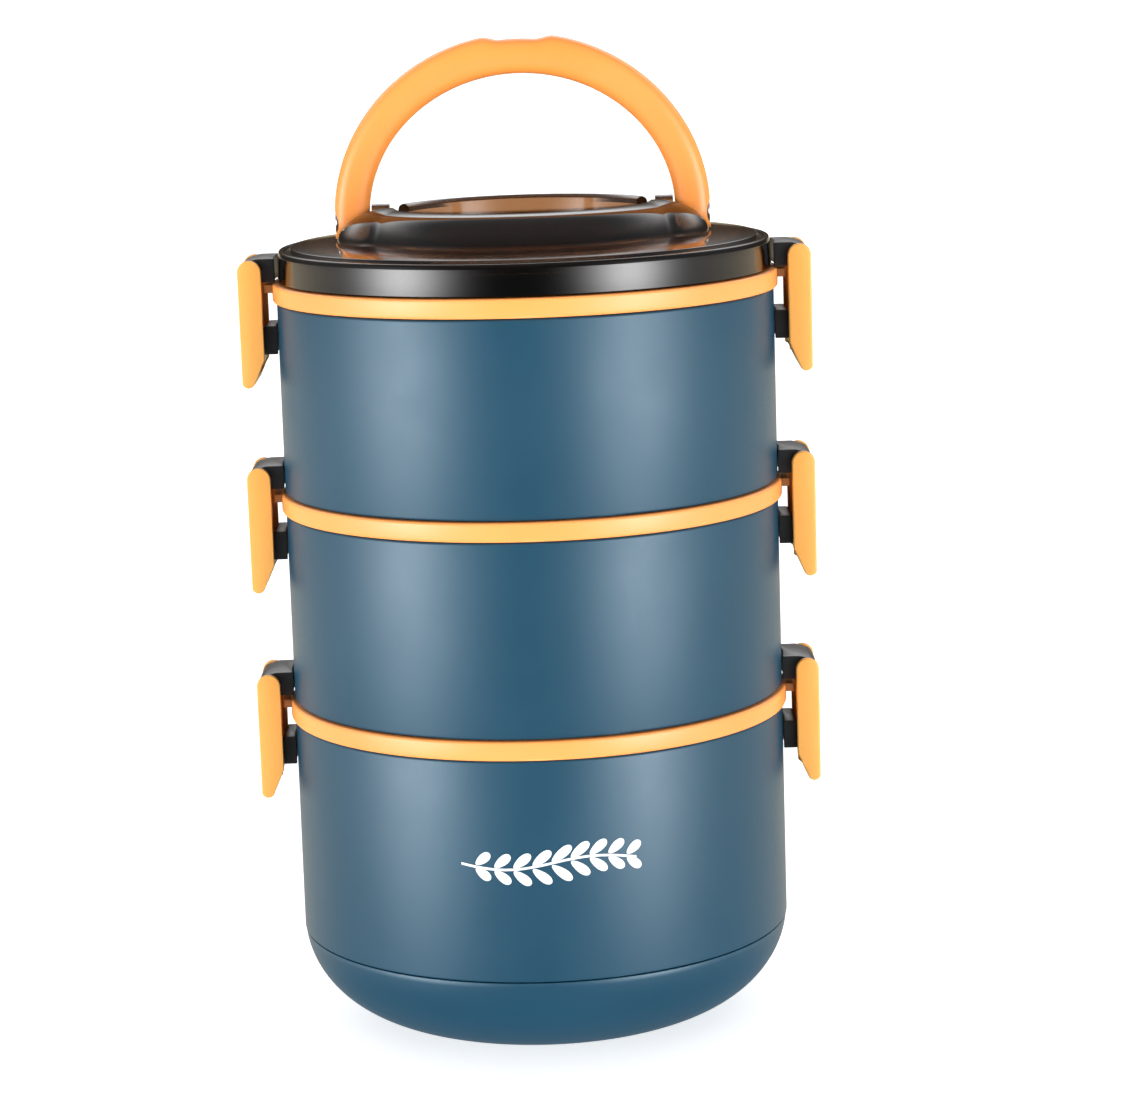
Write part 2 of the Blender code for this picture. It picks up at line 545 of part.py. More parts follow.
def build_latch(level, side, label, materials):
    pin_z = RING_Z[level] + PIN_ABOVE_RING[level]
    pin = (side * PIN_X, 0.0, pin_z)
    upper_part = ("middle", "upper", "lid")[level]
    lower_part = ("lower", "middle", "upper")[level]

    def placed(points):
        return sided([(PIN_X + u, pin_z + v) for u, v in points], side)

    flap = add_object(f"latch_{level + 1}_{label}_flap", prism_mesh(placed(flap_outline()), FLAP_HALF_WIDTH),
                      materials["trim_orange"], pin)
    inside = FLAP_R - FLAP_PLATE
    clear = FLAP_R + 1.0
    channel = [(-clear, clear), (clear, clear), (clear, FLAP_PLATE_TOP), (inside, FLAP_PLATE_TOP),
               (inside, HOOK_TOP_V), (HOOK_U, HOOK_TOP_V), (HOOK_U, HOOK_BOTTOM_V),
               (inside, HOOK_BOTTOM_V), (inside, CHANNEL_END_V), (-clear, CHANNEL_END_V)]
    rib_half = FLAP_HALF_WIDTH - FLAP_RIB
    channel_cut = add_object(f"channel_{level}_{label}", prism_mesh(placed(channel), rib_half), None)
    boolean(flap, "DIFFERENCE", channel_cut)
    bore_half = PIN_HALF + GAP
    cheek_bore = cylinder_mesh(PIN_R + GAP, (pin[0], -bore_half, pin_z), (pin[0], bore_half, pin_z), "Y")
    boolean(flap, "DIFFERENCE", add_object(f"cheek_bore_{level}_{label}", cheek_bore, None))

    lug_outline = [(LUG_ROOT_U, LUG_TOP_V), (LUG_TOP_END_U, LUG_TOP_V)]
    lug_outline += arc((0.0, 0.0), (LUG_NOSE_R, LUG_NOSE_R), LUG_ARC_START, -90, 5)
    lug_outline += [(LUG_ROOT_U, -LUG_NOSE_R)]
    lug = add_object(f"{upper_part}_lug_{label}", prism_mesh(placed(lug_outline), LUG_HALF_WIDTH),
                     materials["clip_black"], pin)
    catch_outline = [(LUG_ROOT_U, CATCH_TOP_V), (CATCH_FACE_U - CATCH_CHAMFER, CATCH_TOP_V),
                     (CATCH_FACE_U, CATCH_TOP_V - CATCH_CHAMFER),
                     (CATCH_FACE_U, CATCH_LIP_V + CATCH_CHAMFER), (CATCH_LIP_U, CATCH_LIP_V),
                     (CATCH_LIP_U, CATCH_BOTTOM_V), (LUG_ROOT_U, CATCH_BOTTOM_V)]
    catch = add_object(f"{lower_part}_catch_{label}", prism_mesh(placed(catch_outline), CATCH_HALF_WIDTH),
                       materials["clip_black"], pin)
    wall_cut = add_object(f"wall_cut_{level}_{label}", cylinder_mesh(
        SHELL_R + GAP, (0, 0, pin_z - WALL_CUT_BELOW), (0, 0, pin_z + WALL_CUT_ABOVE), "Z", SEGMENTS), None)
    boolean(lug, "DIFFERENCE", wall_cut)
    boolean(catch, "DIFFERENCE", wall_cut)
    bore_half = LUG_HALF_WIDTH + 1.0
    lug_bore = cylinder_mesh(PIN_R + GAP, (pin[0], -bore_half, pin_z), (pin[0], bore_half, pin_z), "Y")
    boolean(lug, "DIFFERENCE", add_object(f"lug_bore_{level}_{label}", lug_bore, None))
    add_object(f"latch_{level + 1}_{label}_pin", cylinder_mesh(
        PIN_R, (pin[0], -PIN_HALF, pin_z), (pin[0], PIN_HALF, pin_z), "Y"), materials["pin_steel"], pin)


def build():
    clear_scene()
    materials = {name: make_material(name) for name in MATERIALS}
    build_rings(materials["trim_orange"])
    build_upper_shells(materials["shell_teal"])
    build_lower_shell(materials["shell_teal"])
    build_base(materials["shell_teal"])
    build_bowls(materials["bowl_steel"])
    build_seals(materials["seal_silicone"])
    build_lid(materials["lid_smoke"])
    build_handle(materials["trim_orange"], materials["pin_steel"])
    for level in range(3):
        for side, label in ((-1, "left"), (1, "right")):
            build_latch(level, side, label, materials)


build()
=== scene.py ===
"""Looks of the tiffin carrier: fine meshes, procedural materials, a white studio and the camera.

Every piece is modelled in millimetres, at rest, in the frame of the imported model, and turned into metres when
its mesh is made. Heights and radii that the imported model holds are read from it.
"""
import math

import bmesh
import bpy
from mathutils import Matrix, Vector


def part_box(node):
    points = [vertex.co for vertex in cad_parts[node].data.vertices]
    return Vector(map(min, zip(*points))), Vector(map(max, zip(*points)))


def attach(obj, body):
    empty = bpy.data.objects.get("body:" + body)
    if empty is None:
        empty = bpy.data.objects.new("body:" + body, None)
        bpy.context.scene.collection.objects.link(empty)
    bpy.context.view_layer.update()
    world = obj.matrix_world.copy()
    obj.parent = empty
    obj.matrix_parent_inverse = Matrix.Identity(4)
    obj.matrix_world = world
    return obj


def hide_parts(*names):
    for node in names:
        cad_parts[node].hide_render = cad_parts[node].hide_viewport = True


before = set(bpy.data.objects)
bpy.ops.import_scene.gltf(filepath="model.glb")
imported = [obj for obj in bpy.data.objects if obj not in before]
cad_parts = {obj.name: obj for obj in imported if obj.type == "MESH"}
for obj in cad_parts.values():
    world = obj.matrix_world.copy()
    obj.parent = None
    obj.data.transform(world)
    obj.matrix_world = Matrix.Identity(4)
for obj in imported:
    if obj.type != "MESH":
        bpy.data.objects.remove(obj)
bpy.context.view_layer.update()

MM = 0.001
TIERS = ("lower", "middle", "upper")
SIDES = ((-1, "left"), (1, "right"))
ROUND_STEPS = 192


def box_mm(node):
    low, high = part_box(node)
    return low / MM, high / MM


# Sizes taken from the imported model
ring_boxes = [box_mm(f"{tier}_ring") for tier in TIERS]
RING_Z = [(low.z + high.z) / 2 for low, high in ring_boxes]
RING_HALF = (ring_boxes[0][1].z - ring_boxes[0][0].z) / 2
RING_R = ring_boxes[0][1].y
TAB_R = ring_boxes[0][1].x
SHELL_R = box_mm("middle_shell")[1].y
SEAM_Z = box_mm("lower_shell")[0].z - 0.3
SKIRT_R = box_mm("lid_cover")[1].y
SKIRT_Z = RING_Z[2] + RING_HALF + 0.3
PLUG_BOTTOM = box_mm("lid_cover")[0].z - RING_Z[2]
HANDLE_LOW, HANDLE_HIGH = box_mm("handle")

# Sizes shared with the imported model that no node's box shows
GAP = 0.3
NECK_R = 72.3
SHELL_INNER_R = 71.0
RING_INNER_R = 72.6
RING_LIP_R = 70.2
RING_LIP = 1.6
TAB_ABOVE_RING = 1.0
TAB_HALF_HEIGHT = 1.3
TAB_HALF_WIDTH = 6.0
PLUG_R = 67.5
PLUG_WELL_R = 65.3
LEDGE_R = 68.6
LEDGE_HEIGHT = 1.3
PLUG_FLOOR = 2.2
WELL_SHOULDER = 6.0
SEAT = RING_HALF + GAP
FOOT_R = 39.0
BASE_R = 73.7
BASE_HEIGHT = 30.0
LID_TOP = RING_Z[2] + 14.2
LID_EDGE = LID_TOP - 2.8
LID_WALL = 2.2
DRUM_R = 40.5
DRUM_TOP = LID_TOP + 9.3
DISH_Z = LID_TOP - 3.0
CREST_CORE_R = 36.0
CREST_BASE = LID_TOP - 0.9
CREST_REACH = 14.0
CREST_LEAN = 0.30
CREST_HEIGHT = 10.15
CREST_POWER = 3.2
CREST_BACK_Y = -6.6
EAR_CENTRE = (40.0, -5.0)
EAR_RADII = (15.0, 20.0, 10.2)
BOSS_END_X = 44.6
NOTCH_Z = DRUM_TOP - 2.6
PIVOT_Z = LID_TOP + 5.4
HANDLE_SPRING_Z = PIVOT_Z + 0.7
HANDLE_INNER = (45.3, 41.3)
HANDLE_RISE = 53.04
PIN_X = 81.0
PIN_RISE = (7.5, 7.5, 6.4)
FLAP_HALF_WIDTH = 12.0


# ---------------------------------------------------------------- meshes

def rounded(points, steps=4):
    """A closed outline whose corners (x, z, radius) are rounded by arcs; a radius of 0 keeps the corner."""
    out = []
    count = len(points)
    for index, (x, z, radius) in enumerate(points):
        corner = Vector((x, z))
        before = Vector(points[index - 1][:2]) - corner
        after = Vector(points[(index + 1) % count][:2]) - corner
        if radius <= 0.0:
            out.append((x, z))
            continue
        half = before.angle(after) / 2
        reach = min(radius / math.tan(half), 0.49 * before.length, 0.49 * after.length)
        radius = reach * math.tan(half)
        start = corner + before.normalized() * reach
        end = corner + after.normalized() * reach
        centre = corner + (before.normalized() + after.normalized()).normalized() * (radius / math.sin(half))
        first = start - centre
        turn = first.angle_signed(end - centre)
        for step in range(steps + 1):
            spin = Matrix.Rotation(-turn * step / steps, 2)
            out.append(tuple(centre + spin @ first))
    return out


def arc(centre, radii, start_deg, end_deg, steps):
    angles = [math.radians(start_deg + (end_deg - start_deg) * step / steps) for step in range(steps + 1)]
    return [(centre[0] + radii[0] * math.cos(a), centre[1] + radii[1] * math.sin(a)) for a in angles]


def lathe(profile, segments=ROUND_STEPS):
    """Turn a profile of (radius, z) about Z: a closed loop, or a line whose two ends are on the axis."""
    bm = bmesh.new()
    closed = profile[0][0] > 0.0
    rows = []
    for radius, z in profile:
        if radius <= 0.0:
            rows.append([bm.verts.new((0.0, 0.0, z))] * segments)
            continue
        rows.append([bm.verts.new((radius * math.cos(math.tau * k / segments),
                                   radius * math.sin(math.tau * k / segments), z)) for k in range(segments)])
    pairs = list(zip(rows, rows[1:])) + ([(rows[-1], rows[0])] if closed else [])
    for row, following in pairs:
        for k in range(segments):
            after = (k + 1) % segments
            corners = [row[k], row[after], following[after], following[k]]
            unique = list(dict.fromkeys(corners))
            if len(unique) > 2:
                bm.faces.new(unique)
    bmesh.ops.recalc_face_normals(bm, faces=bm.faces)
    return bm


def prism(outline, half_width):
    """Extrude an outline of (x, z) points between y = -half_width and y = +half_width."""
    bm = bmesh.new()
    face = bm.faces.new([bm.verts.new((x, -half_width, z)) for x, z in outline])
    grown = bmesh.ops.extrude_face_region(bm, geom=[face])
    moved = [item for item in grown["geom"] if isinstance(item, bmesh.types.BMVert)]
    bmesh.ops.translate(bm, vec=(0.0, 2.0 * half_width, 0.0), verts=moved)
    bmesh.ops.recalc_face_normals(bm, faces=bm.faces)
    return bm


def block(low, high):
    bm = bmesh.new()
    size = [b - a for a, b in zip(low, high)]
    middle = [(a + b) / 2 for a, b in zip(low, high)]
    bmesh.ops.create_cube(bm, size=1.0, matrix=Matrix.Translation(middle) @ Matrix.Diagonal((*size, 1.0)))
    return bm


def rod(radius, start, end, segments=32):
    """A cylinder between two points."""
    start, end = Vector(start), Vector(end)
    turn = Vector((0, 0, 1)).rotation_difference(end - start).to_matrix().to_4x4()
    bm = bmesh.new()
    bmesh.ops.create_cone(bm, cap_ends=True, segments=segments, radius1=radius, radius2=radius,
                          depth=(end - start).length, matrix=Matrix.Translation((start + end) / 2) @ turn)
    return bm


def mesh_object(name, bm):
    bmesh.ops.scale(bm, vec=(MM, MM, MM), verts=bm.verts)
    mesh = bpy.data.meshes.new(name)
    bm.to_mesh(mesh)
    bm.free()
    obj = bpy.data.objects.new(name, mesh)
    bpy.context.scene.collection.objects.link(obj)
    return obj


def bake_modifiers(obj):
    """Replace an object's mesh by what its modifiers make of it."""
    depsgraph = bpy.context.evaluated_depsgraph_get()
    finished = bpy.data.meshes.new_from_object(obj.evaluated_get(depsgraph))
    obj.modifiers.clear()
    obj.data = finished


def combine(obj, steps):
    """Apply a list of (operation, bmesh) boolean steps to an object."""
    for operation, bm in steps:
        other = mesh_object("tool", bm)
        modifier = obj.modifiers.new("step", "BOOLEAN")
        modifier.operation = operation
        modifier.object = other
        modifier.solver = "EXACT"
        bake_modifiers(obj)
        bpy.data.objects.remove(other)


def soften(obj, width, segments=3, angle_deg=35):
    """Round an object's sharp edges by width millimetres."""
    modifier = obj.modifiers.new("soft edges", "BEVEL")
    modifier.width = width * MM
    modifier.segments = segments
    modifier.limit_method = "ANGLE"
    modifier.angle_limit = math.radians(angle_deg)
    modifier.use_clamp_overlap = True
    modifier.harden_normals = False
    bake_modifiers(obj)


def finish_piece(obj, material, body, nodes=(), sharp_deg=38):
    obj.data.materials.clear()
    obj.data.materials.append(material)
    obj.data.shade_smooth()
    obj.data.set_sharp_from_angle(angle=math.radians(sharp_deg))
    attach(obj, body)
    if nodes:
        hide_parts(*nodes)
    return obj


# ---------------------------------------------------------------- materials

class Shader:
    """A Principled material under construction."""

    def __init__(self, name, roughness, **sockets):
        self.material = bpy.data.materials.new(name)
        self.material.use_nodes = True
        self.tree = self.material.node_tree
        self.bsdf = self.tree.nodes["Principled BSDF"]
        self.bsdf.inputs["Roughness"].default_value = roughness
        for socket, value in sockets.items():
            self.bsdf.inputs[socket.replace("_", " ")].default_value = value
        self.coords = self.tree.nodes.new("ShaderNodeTexCoord").outputs["Object"]
        self.normal = None

    def node(self, kind, inputs=None, **settings):
        made = self.tree.nodes.new(kind)
        for key, value in settings.items():
            setattr(made, key, value)
        for socket, value in (inputs or {}).items():
            if isinstance(value, bpy.types.NodeSocket):
                self.tree.links.new(value, made.inputs[socket])
            else:
                made.inputs[socket].default_value = value
        return made

    def noise(self, scale, detail=2.0, stretch=None, coords=None, rough=0.5):
        vector = coords or self.coords
        if stretch:
            vector = self.node("ShaderNodeMapping", {"Vector": vector, "Scale": stretch}).outputs["Vector"]
        return self.node("ShaderNodeTexNoise", {"Vector": vector, "Scale": scale, "Detail": detail,
                                                "Roughness": rough}).outputs["Fac"]

    def ramp(self, value, low, high, out_low, out_high):
        return self.node("ShaderNodeMapRange", {"Value": value, "From Min": low, "From Max": high,
                                                "To Min": out_low, "To Max": out_high}).outputs["Result"]

    def mix(self, factor, first, second):
        made = self.node("ShaderNodeMix", {0: factor}, data_type="RGBA")
        for socket, value in zip((made.inputs[6], made.inputs[7]), (first, second)):
            if isinstance(value, bpy.types.NodeSocket):
                self.tree.links.new(value, socket)
            else:
                socket.default_value = (*value, 1.0)
        return made.outputs[2]

    def math(self, operation, first, second):
        return self.node("ShaderNodeMath", {0: first, 1: second}, operation=operation).outputs[0]

    def bump(self, height, strength, depth_mm):
        inputs = {"Height": height, "Strength": strength, "Distance": depth_mm * MM}
        if self.normal is not None:
            inputs["Normal"] = self.normal
        self.normal = self.node("ShaderNodeBump", inputs).outputs["Normal"]

    def colour(self, value):
        self.tree.links.new(value, self.bsdf.inputs["Base Color"])

    def roughness(self, value):
        self.tree.links.new(value, self.bsdf.inputs["Roughness"])

    def done(self):
        if self.normal is not None:
            self.tree.links.new(self.normal, self.bsdf.inputs["Normal"])
        return self.material

    def worn_edges(self, colour, lighter, amount):
        """Lighten the colour a little along convex edges, as on handled plastic."""
        pointiness = self.node("ShaderNodeNewGeometry").outputs["Pointiness"]
        edge = self.ramp(pointiness, 0.52, 0.60, 0.0, amount)
        patchy = self.math("MULTIPLY", edge, self.ramp(self.noise(180.0, 4.0), 0.35, 0.65, 0.2, 1.0))
        return self.mix(patchy, colour, lighter)


def moulded_plastic(name, dark, light, rough, grain_mm, worn, **sockets):
    """Moulded plastic: slow tone drift, patchy gloss, spark-eroded grain and a trace of wear."""
    shader = Shader(name, sum(rough) / 2, **sockets)
    drift = shader.ramp(shader.noise(22.0, 3.0), 0.3, 0.7, 0.0, 1.0)
    tone = shader.mix(drift, dark, light)
    shader.colour(shader.worn_edges(tone, worn, 0.35))
    gloss = shader.math("ADD", shader.noise(45.0, 4.0), shader.math("MULTIPLY", shader.noise(900.0, 2.0), 0.6))
    shader.roughness(shader.ramp(gloss, 0.55, 1.05, *rough))
    shader.bump(shader.noise(250.0, 2.0), 0.25, 0.02)
    shader.bump(shader.noise(2600.0, 3.0), 0.35, grain_mm)
    return shader.done()


def smoke_plastic():
    """Clear brown plastic: light is tinted as it passes each wall. The crest and the rim are painted nearly black,
    as painted shade; there are faint swirls and hairlines."""
    shader = Shader("lid_smoke_plastic", 0.08, Transmission_Weight=0.94, IOR=1.46)
    parts = shader.node("ShaderNodeSeparateXYZ", {"Vector": shader.coords}).outputs
    flat = shader.node("ShaderNodeCombineXYZ", {"X": parts["X"], "Y": parts["Y"]}).outputs["Vector"]
    radius = shader.node("ShaderNodeVectorMath", {0: flat}, operation="LENGTH").outputs["Value"]
    # Painted shade: a mask over the crest's front and the rim band beyond 64 mm, where the colour is darkened to
    # near black
    crest = shader.math("MINIMUM", shader.ramp(radius, 0.0395, 0.0420, 0.0, 1.0),
                        shader.ramp(parts["Y"], -0.002, -0.008, 0.0, 1.0))
    crest = shader.math("MINIMUM", crest, shader.ramp(parts["Z"], LID_TOP * MM, (LID_TOP + 1.0) * MM, 0.0, 1.0))
    painted_shade_mask = shader.math("MAXIMUM", crest, shader.ramp(radius, 0.064, 0.069, 0.0, 1.0))
    drift = shader.ramp(shader.noise(18.0, 3.0), 0.3, 0.7, 0.0, 1.0)
    clear = shader.mix(drift, (0.30, 0.140, 0.058), (0.35, 0.165, 0.070))
    # the near-black colour here is painted shade, laid over the clear tint by the mask
    shader.colour(shader.mix(painted_shade_mask, clear, (0.004, 0.002, 0.001)))
    swirl = shader.noise(60.0, 5.0)
    hair = shader.noise(900.0, 2.0, stretch=(1.0, 0.05, 1.0))
    shader.roughness(shader.ramp(shader.math("ADD", swirl, hair), 0.7, 1.3, 0.06, 0.13))
    shader.bump(shader.noise(120.0, 2.0), 0.12, 0.02)
    return shader.done()


def turned_steel(name, tint, rough):
    """Spun stainless steel: fine rings round the axis, with smudges."""
    shader = Shader(name, sum(rough) / 2, Metallic=1.0, Anisotropic=0.5)
    parts = shader.node("ShaderNodeSeparateXYZ", {"Vector": shader.coords})
    flat = shader.node("ShaderNodeCombineXYZ", {"X": parts.outputs["X"], "Y": parts.outputs["Y"]}).outputs["Vector"]
    radius = shader.node("ShaderNodeVectorMath", {0: flat}, operation="LENGTH").outputs["Value"]
    ring = shader.node("ShaderNodeCombineXYZ", {"X": radius, "Z": parts.outputs["Z"]}).outputs["Vector"]
    lines = shader.noise(3800.0, 3.0, coords=ring)
    smudge = shader.noise(35.0, 4.0)
    shader.colour(shader.mix(shader.ramp(lines, 0.3, 0.7, 0.0, 1.0), [c * 0.86 for c in tint], tint))
    shader.roughness(shader.ramp(shader.math("ADD", shader.math("MULTIPLY", lines, 0.5), smudge), 0.5, 1.0, *rough))
    shader.bump(lines, 0.18, 0.01)
    return shader.done()


def silicone():
    shader = Shader("seal_silicone_rubber", 0.5, Subsurface_Weight=0.4, Subsurface_Scale=0.002)
    shader.colour(shader.mix(shader.noise(80.0, 3.0), (0.74, 0.74, 0.70), (0.84, 0.84, 0.81)))
    shader.roughness(shader.ramp(shader.noise(400.0, 3.0), 0.3, 0.7, 0.42, 0.6))
    shader.bump(shader.noise(1800.0, 2.0), 0.2, 0.02)
    return shader.done()


def print_ink():
    """White pad-printed ink, slightly uneven in cover."""
    shader = Shader("print_white_ink", 0.45)
    cover = shader.ramp(shader.noise(700.0, 3.0), 0.35, 0.6, 0.0, 1.0)
    shader.colour(shader.mix(cover, (0.74, 0.80, 0.82), (0.88, 0.90, 0.90)))
    shader.roughness(shader.ramp(shader.noise(300.0, 3.0), 0.3, 0.7, 0.38, 0.55))
    return shader.done()


TEAL = moulded_plastic("shell_teal_plastic", (0.001, 0.041, 0.078), (0.003, 0.047, 0.088), (0.38, 0.44), 0.012,
                       (0.06, 0.16, 0.22), Specular_IOR_Level=0.63, Specular_Tint=(0.78, 0.91, 1.0, 1.0))
def orange_plastic(name, dark, light):
    return moulded_plastic(name, dark, light, (0.30, 0.42), 0.010, (1.0, 0.62, 0.25),
                           Subsurface_Weight=0.08, Subsurface_Scale=0.002)


RING_ORANGE = orange_plastic("ring_orange_plastic", (0.93, 0.330, 0.078), (0.97, 0.360, 0.090))
# Painted shade: the handle orange is a darker copy of the same orange plastic, lowered to offset the light falling
# on the handle from above
BOW_ORANGE_PAINTED_DARKER = orange_plastic("handle_orange_painted_darker", (0.92, 0.298, 0.057), (0.96, 0.326, 0.067))
# Painted light: the latch orange is a lighter copy of the same orange plastic, raised to offset the shade the body
# casts on the flaps
FLAP_ORANGE_PAINTED_LIGHTER = orange_plastic("latch_orange_painted_lighter", (0.94, 0.415, 0.079), (0.98, 0.450, 0.092))
BLACK = moulded_plastic("clip_black_plastic", (0.008, 0.008, 0.009), (0.013, 0.013, 0.014), (0.30, 0.45), 0.015,
                        (0.05, 0.05, 0.05))
SMOKE = smoke_plastic()
STEEL = turned_steel("bowl_steel_spun", (0.66, 0.66, 0.65), (0.20, 0.36))
PIN_STEEL = turned_steel("pin_steel_drawn", (0.55, 0.55, 0.55), (0.22, 0.36))
SILICONE = silicone()
INK = print_ink()


# ---------------------------------------------------------------- tiers

def neck(ring_z):
    """Top of a shell's outline: up the wall, in over the neck, and down the inside."""
    shoulder = ring_z - SEAT
    return [(SHELL_R, shoulder, 0.7), (NECK_R, shoulder, 0.2), (NECK_R, ring_z - 0.2, 0.3),
            (SHELL_INNER_R, ring_z - 0.2, 0.3)]


def make_shells():
    lower = [(SHELL_INNER_R, SEAM_Z + 0.3, 0.3), (SHELL_R, SEAM_Z + 0.3, 0.45)] + neck(RING_Z[0])
    obj = mesh_object("lower_shell_wall", lathe(rounded(lower)))
    finish_piece(obj, TEAL, "lower_tier", ["lower_shell"])
    for level in (1, 2):
        below = RING_Z[level - 1]
        bottom = below + PLUG_BOTTOM
        outline = [(0.0, bottom, 0.0), (LEDGE_R, bottom, 0.4), (LEDGE_R, bottom + LEDGE_HEIGHT, 0.3),
                   (PLUG_R, bottom + LEDGE_HEIGHT, 0.1), (PLUG_R, below + SEAT, 0.2),
                   (SHELL_R, below + SEAT, 0.7)] + neck(RING_Z[level])
        outline += [(SHELL_INNER_R, below + WELL_SHOULDER, 0.8), (PLUG_WELL_R, below + WELL_SHOULDER, 0.6),
                    (PLUG_WELL_R, bottom + PLUG_FLOOR, 0.8), (0.0, bottom + PLUG_FLOOR, 0.0)]
        # shallow stiffening steps under the floor
        steps = [(0.0, bottom + 0.5, 0.0), (22.0, bottom + 0.5, 0.3), (22.6, bottom, 0.3), (44.0, bottom, 0.3),
                 (44.6, bottom + 0.5, 0.3), (60.0, bottom + 0.5, 0.3), (60.6, bottom, 0.3)]
        obj = mesh_object(f"{TIERS[level]}_shell_wall", lathe(rounded(steps + outline[1:])))
        finish_piece(obj, TEAL, f"{TIERS[level]}_tier", [f"{TIERS[level]}_shell"])


def make_base():
    """Rounded base: quarter-ellipse side, flat foot, stepped recess underneath and a spigot into the shell."""
    seam_deg = math.degrees(math.asin((SEAM_Z - BASE_HEIGHT) / BASE_HEIGHT))
    seam_r = box_mm("base_cap")[1].y
    spigot_top = box_mm("base_cap")[1].z
    side = arc((FOOT_R, BASE_HEIGHT), (BASE_R - FOOT_R, BASE_HEIGHT), -90, seam_deg - 0.8, 34)
    lining = arc((FOOT_R, BASE_HEIGHT), (68.9 - FOOT_R, BASE_HEIGHT - 2.6), 0, -90, 24)
    under = [(0.0, 1.0), (5.0, 1.0), (5.4, 0.7), (6.6, 0.7), (7.0, 1.2), (16.0, 1.2), (16.3, 0.9), (17.3, 0.9),
             (17.6, 1.2), (28.2, 1.2), (28.6, 1.1), (29.4, 0.25), (30.0, 0.0)]
    profile = under + side + [(seam_r - 0.15, SEAM_Z - 0.12), (seam_r - 0.55, SEAM_Z), (70.7, SEAM_Z)]
    profile += [(70.7, spigot_top - 0.5), (70.2, spigot_top), (69.4, spigot_top), (68.9, spigot_top - 0.5)]
    profile += lining + [(30.0, 3.8), (0.0, 3.8)]
    obj = mesh_object("base_cap_shell", lathe(profile))
    finish_piece(obj, TEAL, "lower_tier", ["base_cap"])


def make_rings():
    for tier, ring_z in zip(TIERS, RING_Z):
        low, high = ring_z - RING_HALF, ring_z + RING_HALF
        outline = [(RING_INNER_R, low, 0.2), (RING_R, low, 0.8), (RING_R, high, 0.8), (RING_LIP_R, high, 0.4),
                   (RING_LIP_R, high - RING_LIP, 0.3), (RING_INNER_R, high - RING_LIP, 0.2)]
        ring = mesh_object(f"{tier}_rim_ring", lathe(rounded(outline, 5)))
        finish_piece(ring, RING_ORANGE, f"{tier}_tier", [f"{tier}_ring"])
        tab_z = ring_z + TAB_ABOVE_RING
        for side, label in SIDES:
            near, far = sorted((side * (RING_R - 0.6), side * TAB_R))
            tab = mesh_object(f"{tier}_rim_tab_{label}", block((near, -TAB_HALF_WIDTH, tab_z - TAB_HALF_HEIGHT),
                                                               (far, TAB_HALF_WIDTH, tab_z + TAB_HALF_HEIGHT)))
            soften(tab, 0.45)
            finish_piece(tab, RING_ORANGE, f"{tier}_tier")


def make_bowls():
    """Spun steel bowls: rounded bottom, straight neck and a flange with a rolled edge."""
    corners = {"lower": ((34.0, 33.0), (33.0, 28.0)), "middle": ((56.5, RING_Z[0] + 7.4), (8.2, 8.2)),
               "upper": ((56.5, RING_Z[1] + 7.4), (8.2, 8.2))}
    wall = 0.7
    for (tier, (centre, radii)), ring_z in zip(corners.items(), RING_Z):
        neck_z = ring_z - 9.0
        bottom = arc(centre, radii, -90, 0, 20)
        side = [(69.5, neck_z), (69.9, neck_z + 0.4), (70.2, neck_z + 1.1), (70.3, neck_z + 2.0)]
        outer = [(0.0, bottom[0][1])] + bottom + side + [(70.3, ring_z - 0.3), (70.5, ring_z + 0.1)]
        lip = [(71.9, ring_z + 0.1), (72.2, ring_z + 0.3), (72.2, ring_z + 0.6), (71.9, ring_z + 0.8), (70.3, ring_z + 0.8),
               (69.8, ring_z + 0.6)]
        inner_bottom = arc(centre, (radii[0] - wall, radii[1] - wall), -90, 0, 20)
        inner = [(0.0, inner_bottom[0][1])] + inner_bottom
        inner += [(r - wall, z) for r, z in side] + [(69.6, ring_z - 0.2)]
        obj = mesh_object(f"{tier}_steel_bowl", lathe(outer + lip + inner[::-1]))
        finish_piece(obj, STEEL, f"{tier}_tier", [f"{tier}_bowl"], sharp_deg=50)


def make_seals():
    """Silicone rings with two soft lips, round the plug under each tier and the lid."""
    for node, body in (("middle_seal", "middle_tier"), ("upper_seal", "upper_tier"), ("lid_seal", "lid")):
        low, high = box_mm(node)
        reach = high.y
        height = high.z - low.z
        outline = [(reach - 1.5, low.z, 0.2), (reach - 0.4, low.z, 0.3), (reach, low.z + 0.25 * height, 0.25),
                   (reach - 0.7, low.z + 0.45 * height, 0.3), (reach, low.z + 0.75 * height, 0.25),
                   (reach - 0.5, high.z, 0.3), (reach - 1.5, high.z, 0.2)]
        obj = mesh_object(f"{node}_ring", lathe(rounded(outline, 3)))
        finish_piece(obj, SILICONE, body, [node])


# ---------------------------------------------------------------- lid

